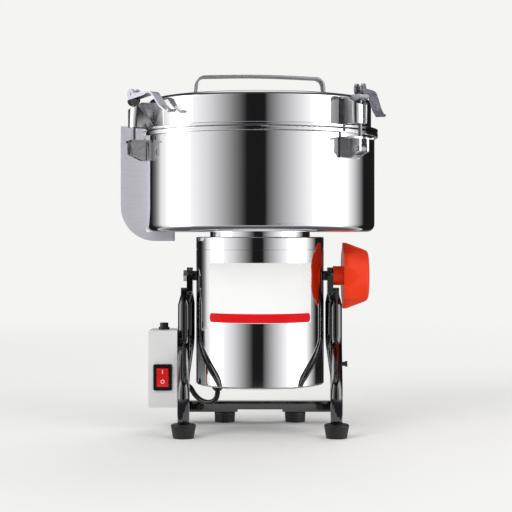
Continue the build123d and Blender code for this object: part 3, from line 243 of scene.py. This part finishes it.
SCREW_BLACK = coated("black_oxide_screw", "#1B1B1E", 0.2, 0.0005, 0.00002, coat=0.6)
FOOT_RUBBER = coated("black_moulded_rubber", "#1A1A1C", 0.5, 0.0007, 0.00012, wear=0.7)
LEAD_RUBBER = coated("black_pvc_sheath", "#0A0A0B", 0.20, 0.0012, 0.00005)
BOX_PAINT = coated("light_grey_powder_coat", "#E6E6E7", 0.36, 0.0007, 0.00007, wear=0.94)
KNOB_RED = coated("red_moulded_abs", "#FF3E14", 0.3, 0.0009, 0.00003, wear=0.93, shine=0.18)
SWITCH_BLACK = coated("black_moulded_nylon", "#0D0D0E", 0.22, 0.0006, 0.00003)
GLAND_BLACK = coated("black_gland_nylon", "#101011", 0.38, 0.0006, 0.00004)
ROCKER_RED = coated("red_rocker_polycarbonate", "#EE1210", 0.1, 0.0020, 0.00002, coat=0.8)
MARK_WHITE = coated("white_printed_mark", "#F2F2F0", 0.4, 0.0006, 0.00001, wear=0.95)
LABEL_FILM = coated("white_polyester_label", "#FFFFFF", 0.40, 0.0014, 0.00002, wear=0.98, shine=0.2)
LABEL_RED = coated("red_printed_band", "#E6141C", 0.40, 0.0014, 0.00002, wear=0.95, shine=0.08)
GASKET = coated("silicone_gasket", "#E6E5E0", 0.45, 0.0010, 0.00004, wear=0.9)
SEAL = coated("nitrile_shaft_seal", "#141415", 0.55, 0.0008, 0.00006, wear=0.8)
CARBON = coated("pressed_graphite", "#1C1C1E", 0.5, 0.0004, 0.00006, wear=0.7)
MOTOR_NYLON = coated("black_glass_filled_nylon", "#232325", 0.48, 0.0005, 0.00008, wear=0.8)
TERMINALS = coated("natural_nylon_block", "#CFCBBE", 0.4, 0.0008, 0.00004, wear=0.85)

FINISHES = (
    (MIRROR, "motor_casing casing_collar bowl lid_shell neck_flange"),
    (SATIN, "bottom_cover"),
    (SATIN_GRIP, "tilt_grip"),
    (SATIN_HARDWARE, "bowl_brackets lid_brackets bracket_pins left_pivot_bolt right_pivot_stud "
     "pivot_bosses"),
    (LEVER_STEEL, "front_cam_lever rear_cam_lever left_cam_lever"),
    (ROD_STEEL, "front_swing_bolt rear_swing_bolt left_swing_bolt"),
    (HANDLE_STEEL, "lid_handle"),
    (BRIGHT_ZINC, "foot_screws box_screws head_screws"),
    (SCREW_BLACK, "frame_screws"),
    (ENAMEL, "left_post right_post left_front_leg right_front_leg rear_bar"),
    (FOOT_RUBBER, "front_feet rear_feet"),
    (BOX_PAINT, "switch_box box_cover"),
    (SWITCH_BLACK, "switch_housing pivot_bushes"),
    (ROCKER_RED, "switch_rocker"),
    (GLAND_BLACK, "mains_gland lead_grommet casing_gland"),
    (TERMINALS, "terminal_block"),
    (LABEL_FILM, "label_plate"),
    (KNOB_RED, "lock_knob"),
    (GASKET, "lid_gasket"),
    (SEAL, "shaft_seal"),
    (CAST_ALUMINIUM, "end_shields"),
    (GROUND_STEEL, "motor_shaft motor_bearings"),
    (CORE, "stator_core rotor_core"),
    (WINDING, "field_coils"),
    (COPPER_BAR, "commutator"),
    (MOTOR_NYLON, "brush_holders cooling_fan"),
    (CARBON, "carbon_brushes"),
    (CUTTER_STEEL, "lower_cutter middle_cutter upper_cutter cutter_spacers cutter_nut"),
    (LEAD_RUBBER, "motor_lead"),
)
for finish, names in FINISHES:
    for name in names.split():
        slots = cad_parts[name].data.materials
        slots.clear()
        slots.append(finish)


# Edges, broken as a press, a bend or a file leaves them

WELD_WITHIN = 0.01 * MM
SHARPER_THAN = radians(32)        # only edges that turn more than this are broken
EDGE_STEPS = 2


def break_edges(names, width):
    for name in names.split():
        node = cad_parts[name]
        weld = node.modifiers.new("weld", "WELD")
        weld.merge_threshold = WELD_WITHIN
        bevel = node.modifiers.new("edges", "BEVEL")
        bevel.width = width
        bevel.segments = EDGE_STEPS
        bevel.limit_method = "ANGLE"
        bevel.angle_limit = SHARPER_THAN
        bevel.harden_normals = True


break_edges("switch_box box_cover", 0.5 * MM)
break_edges("lid_handle lid_brackets bowl_brackets tilt_grip", 0.5 * MM)
break_edges("front_cam_lever rear_cam_lever left_cam_lever", 0.3 * MM)
break_edges("left_post right_post left_front_leg right_front_leg rear_bar", 0.8 * MM)
break_edges("lock_knob", 0.8 * MM)
break_edges("switch_housing switch_rocker", 0.3 * MM)


# Pieces

def new_object(name, vertices, faces, finish, smooth=False):
    data = bpy.data.meshes.new(name)
    data.from_pydata(vertices, [], faces)
    data.update()
    for polygon in data.polygons:
        polygon.use_smooth = smooth
    made = bpy.data.objects.new(name, data)
    bpy.context.scene.collection.objects.link(made)
    data.materials.append(finish)
    return made


def mesh_piece(name, vertices, faces, finish, body, smooth=False):
    """A mesh that rides on a body, where one is given."""
    made = new_object(name, vertices, faces, finish, smooth)
    if body:
        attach(made, body)
    return made


# Motor lead, from the casing's gland to the switch box

LEAD_ROUTE = [(-50, -28, 50), (-50, -28, 41), (-58, -23, 34.5), (-69, -15.5, 35.5), (-78, -8, 42),
              (-85, 0, 54), (-94, 0, 54)]
LEAD_R = 3 * MM
LEAD_SIDES = 20
LEAD_STEPS = 12                   # cuts between two points of the route

route = bpy.data.curves.new("lead_route", "CURVE")
route.dimensions = "3D"
spline = route.splines.new("NURBS")
spline.points.add(len(LEAD_ROUTE) - 1)
for point, (x, y, z) in zip(spline.points, LEAD_ROUTE):
    point.co = (x * MM, y * MM, z * MM, 1)
spline.order_u = 3
spline.use_endpoint_u = True
spline.resolution_u = LEAD_STEPS
route_object = bpy.data.objects.new("lead_route", route)
bpy.context.scene.collection.objects.link(route_object)
bpy.context.view_layer.update()
route_mesh = bpy.data.meshes.new_from_object(
    route_object.evaluated_get(bpy.context.evaluated_depsgraph_get()))
lead_path = [v.co.copy() for v in route_mesh.vertices]
bpy.data.objects.remove(route_object)

lead_vertices, lead_faces = [], []
across = Vector((1, 0, 0))
for i, here in enumerate(lead_path):
    along = (lead_path[min(i + 1, len(lead_path) - 1)] - lead_path[max(i - 1, 0)]).normalized()
    across = (across - along * across.dot(along)).normalized()
    other = along.cross(across)
    for j in range(LEAD_SIDES):
        turn = 2 * pi * j / LEAD_SIDES
        lead_vertices.append(here + (across * cos(turn) + other * sin(turn)) * LEAD_R)
for i in range(len(lead_path) - 1):
    for j in range(LEAD_SIDES):
        a, b = i * LEAD_SIDES + j, i * LEAD_SIDES + (j + 1) % LEAD_SIDES
        lead_faces.append((a, b, b + LEAD_SIDES, a + LEAD_SIDES))
lead_faces.append(tuple(reversed(range(LEAD_SIDES))))
lead_faces.append(tuple(range(len(lead_vertices) - LEAD_SIDES, len(lead_vertices))))
lead = mesh_piece("motor_lead_sheath", lead_vertices, lead_faces, LEAD_RUBBER, None,
                  smooth=True)
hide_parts("motor_lead")
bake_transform(lead)


# Red band along the label's lower edge, with round ends

LABEL_OUT = 77 * MM               # the label's outer radius
BAND_LOW, BAND_HIGH = 132 * MM, 142.5 * MM
BAND_ANGLE = radians(49.5)
BAND_STEPS = 96
BAND_PROUD = 0.06 * MM
BAND_ROUND = 4 * MM

band_vertices, band_faces = [], []
half_length = LABEL_OUT * BAND_ANGLE
for i in range(BAND_STEPS + 1):
    s = -half_length + 2 * half_length * i / BAND_STEPS
    into_end = max(0, abs(s) - (half_length - BAND_ROUND))
    pinch = BAND_ROUND - sqrt(max(0, BAND_ROUND ** 2 - into_end ** 2))
    turn = s / LABEL_OUT
    for radius in (LABEL_OUT + BAND_PROUD, LABEL_OUT - BAND_PROUD):
        for height in (BAND_LOW + pinch, BAND_HIGH - pinch):
            band_vertices.append((radius * sin(turn), -radius * cos(turn), height))
for i in range(BAND_STEPS):
    a, b = 4 * i, 4 * i + 4
    band_faces += [(a, b, b + 1, a + 1), (a + 2, a + 3, b + 3, b + 2),
                   (a + 1, b + 1, b + 3, a + 3), (a, a + 2, b + 2, b)]
band_faces += [(0, 1, 3, 2), (4 * BAND_STEPS, 4 * BAND_STEPS + 2, 4 * BAND_STEPS + 3,
                              4 * BAND_STEPS + 1)]
mesh_piece("label_red_band", band_vertices, band_faces, LABEL_RED, "head")


# Marks printed on the rocker: a bar on its upper half and a ring on its lower half

MARK_T = 0.05 * MM
ROCKER_AT = Vector((-115, -25, 65)) * MM
ROCKER_FACE = 2.6 * MM            # how far the rocker's faces stand out at its middle
ROCKER_SLOPE = atan2(3.232, 11.5)  # of its upper half: forward, and up
BAR_OUTER, BAR_INNER = (0.45 * MM, 2.4 * MM), (0.02 * MM, 1.9 * MM)
BAR_RISE = 7 * MM
RING_OUTER, RING_INNER = 2.3 * MM, 1.5 * MM
RING_RISE = -5 * MM


def printed_mark(name, outer, inner, rise, slope):
    """A raised print between two outlines, drawn as (right, up) on a face of the rocker that leans
    forward by slope. rise is how far up that face its middle lies."""
    up = Vector((0, -sin(slope), cos(slope)))
    out = Vector((0, -cos(slope), -sin(slope)))
    middle = ROCKER_AT + Vector((0, -ROCKER_FACE, 0)) + up * rise
    count = len(outer)
    vertices = [middle + Vector((x, 0, 0)) + up * z + out * lift for outline in (outer, inner)
                for lift in (-MARK_T, MARK_T) for x, z in outline]
    faces = []
    for i in range(count):
        j = (i + 1) % count
        low_out, high_out, low_in, high_in = (k * count for k in range(4))
        faces += [(low_out + i, low_out + j, high_out + j, high_out + i),
                  (high_out + i, high_out + j, high_in + j, high_in + i),
                  (high_in + i, high_in + j, low_in + j, low_in + i),
                  (low_in + i, low_in + j, low_out + j, low_out + i)]
    mesh_piece(name, vertices, faces, MARK_WHITE, "rocker")


def bar_outline(half_w, half_h):
    return [(-half_w, -half_h), (half_w, -half_h), (half_w, half_h), (-half_w, half_h)]


def ring_outline(radius, steps=32):
    return [(radius * cos(2 * pi * i / steps), radius * sin(2 * pi * i / steps))
            for i in range(steps)]


printed_mark("mark_on", bar_outline(*BAR_OUTER), bar_outline(*BAR_INNER), BAR_RISE, ROCKER_SLOPE)
printed_mark("mark_off", ring_outline(RING_OUTER), ring_outline(RING_INNER), RING_RISE, 0)


# Floor, lamps and cards

FLOOR_HALF = 15
PALE = "#F4F4F3"
FADES_FROM, FADES_TO = 0.7, 2.4   # how far out the floor turns into the backdrop

made, tree, shader, place = new_material("pale_floor")
shader.inputs["Base Color"].default_value = linear(PALE)
shader.inputs["Roughness"].default_value = 0.7
shader.inputs["Specular IOR Level"].default_value = 0
far = add(tree, "ShaderNodeVectorMath", {0: place}, operation="LENGTH")
faded = add(tree, "ShaderNodeMapRange", {"Value": far.outputs["Value"], "From Min": FADES_FROM,
            "From Max": FADES_TO}, interpolation_type="SMOOTHSTEP")
glow = add(tree, "ShaderNodeEmission", {"Color": linear(PALE), "Strength": 1})
mixed = add(tree, "ShaderNodeMixShader", {0: faded.outputs["Result"], 1: shader.outputs["BSDF"],
            2: glow.outputs["Emission"]})
to_surface(tree, mixed.outputs["Shader"])
corners = [(x * FLOOR_HALF, y * FLOOR_HALF, 0) for x, y in ((-1, -1), (1, -1), (1, 1), (-1, 1))]
new_object("floor", corners, [(0, 1, 2, 3)], made)

WORLD_LIGHT = 0.7                 # what the world gives to surfaces that don't mirror it

world = bpy.data.worlds.new("studio")
bpy.context.scene.world = world
world.use_nodes = True
tree = world.node_tree
tree.nodes.clear()
ray = add(tree, "ShaderNodeLightPath")
seen = ray.outputs["Is Camera Ray"]
for kind in ("Is Glossy Ray", "Is Transmission Ray"):
    seen = add(tree, "ShaderNodeMath", {0: seen, 1: ray.outputs[kind]},
               operation="MAXIMUM").outputs["Value"]
strength = add(tree, "ShaderNodeMapRange", {"Value": seen, "To Min": WORLD_LIGHT, "To Max": 1.0})
sky = add(tree, "ShaderNodeBackground", {"Color": linear(PALE),
          "Strength": strength.outputs["Result"]})
add(tree, "ShaderNodeOutputWorld", {"Surface": sky.outputs["Background"]})

# A ring of lit and black cards stands round the object, as a studio sets them for polished steel.
# Only mirror-like surfaces see it: a narrow black card behind the camera, a lamp with a soft
# edge on each side, and black again beyond the sides, which draws the steel's edges.
RING_R = 0.55
RING_TOP = 0.75
RING_STEPS = 120
STEEL_SHARE = 0.8                 # what the steel gives back of a card's light
LAMP_FROM = 0.93                  # cards brighter than this are lamps
LAMP_BOOST = 2.2                  # how far the lamps' middles outshine white
# Degrees from the camera, to the right, and brightness
CARDS = ((-180, 0.4), (-165, 0.3), (-150, 0.01), (-124, 0.01), (-116, 0.12), (-110, 0.3),
         (-103, 0.75), (-90, 1), (-68, 1), (-45, 0.65), (-33, 0.4), (-22, 0.18), (-14, 0.05),
         (-11, 0.01), (5, 0.01), (6, 0.08), (20, 0.4), (43, 0.9), (52, 1), (84, 1), (101, 0.35),
         (112, 0.01), (150, 0.01), (165, 0.3), (180, 0.4))


def card_between(name, steps, near, far, finish):
    """A stage piece between two rings about Z, each a (radius, height), that only mirrors see."""
    vertices, faces = [], []
    for i in range(steps):
        turn = 2 * pi * i / steps
        vertices += [(r * cos(turn), r * sin(turn), z) for r, z in (near, far)]
        a, b = 2 * i, (2 * i + 2) % (2 * steps)
        faces.append((a, a + 1, b + 1, b))
    card = new_object(name, vertices, faces, finish)
    card.visible_camera = card.visible_diffuse = card.visible_shadow = False
    card.visible_transmission = card.visible_volume_scatter = False
    return card


made, tree, shader, place = new_material("studio_cards")
parts = add(tree, "ShaderNodeSeparateXYZ", {"Vector": place})
towards = add(tree, "ShaderNodeMath", {0: parts.outputs["Y"], 1: -1.0}, operation="MULTIPLY")
azimuth = add(tree, "ShaderNodeMath", {0: parts.outputs["X"], 1: towards.outputs["Value"]},
              operation="ARCTAN2")
share = add(tree, "ShaderNodeMapRange", {"Value": azimuth.outputs["Value"], "From Min": -pi,
            "From Max": pi})
level = add(tree, "ShaderNodeValToRGB", {"Fac": share.outputs["Result"]})
set_ramp(level, [((angle + 180) / 360, value) for angle, value in CARDS])
lamp_part = add(tree, "ShaderNodeMapRange", {"Value": level.outputs["Color"],
                "From Min": LAMP_FROM, "From Max": 1.0, "To Min": 1 / STEEL_SHARE,
                "To Max": LAMP_BOOST / STEEL_SHARE})
glow = add(tree, "ShaderNodeEmission", {"Color": level.outputs["Color"],
           "Strength": lamp_part.outputs["Result"]})
to_surface(tree, glow.outputs["Emission"])
card_between("card_ring", RING_STEPS, (RING_R, 0), (RING_R, RING_TOP), made)

# Two flat cards for the same surfaces, dark where they draw an edge and paler elsewhere: one on the
# floor draws the lower edges of bowl, rim and lid, and one on top of the ring the lid's shoulder.
FLAT_STEPS = 64


def flat_card(name, height, stops):
    """An annulus inside the ring. Stops are (distance from the axis, colour)."""
    made, tree, shader, place = new_material(name + "_card")
    away = add(tree, "ShaderNodeVectorMath", {0: place}, operation="LENGTH")
    share = add(tree, "ShaderNodeMapRange", {"Value": away.outputs["Value"], "From Max": RING_R})
    tone = add(tree, "ShaderNodeValToRGB", {"Fac": share.outputs["Result"]})
    set_ramp(tone, [(r / RING_R, linear(colour)) for r, colour in stops])
    glow = add(tree, "ShaderNodeEmission", {"Color": tone.outputs["Color"], "Strength": 1})
    to_surface(tree, glow.outputs["Emission"])
    card = card_between(name, FLAT_STEPS, (stops[0][0], 0), (RING_R, 0), made)
    card.location.z = height


flat_card("dark_apron", 0.001, ((0.16, "#5A5A60"), (0.34, "#5A5A60"), (RING_R, "#D6D6D8")))
flat_card("dark_ceiling", RING_TOP, ((0.18, "#E4E4E5"), (0.30, "#3C3C42"), (RING_R, "#3C3C42")))

# Soft lamps that only matt surfaces see: name, place, side and watts
LAMPS = (("key", (-1.6, -1.9, 1.9), 1.4, 26), ("fill", (1.9, -1.5, 1.5), 1.6, 14),
         ("back", (0.6, 1.9, 2.2), 1.8, 16))
AIM = Vector((0, 0, 0.2))
for name, at, side, power in LAMPS:
    lamp = bpy.data.lights.new(name, "AREA")
    lamp.size = side
    lamp.energy = power
    lamp_object = bpy.data.objects.new(name, lamp)
    lamp_object.location = at
    lamp_object.rotation_euler = (AIM - Vector(at)).to_track_quat("-Z", "Y").to_euler()
    lamp_object.visible_glossy = False
    bpy.context.scene.collection.objects.link(lamp_object)
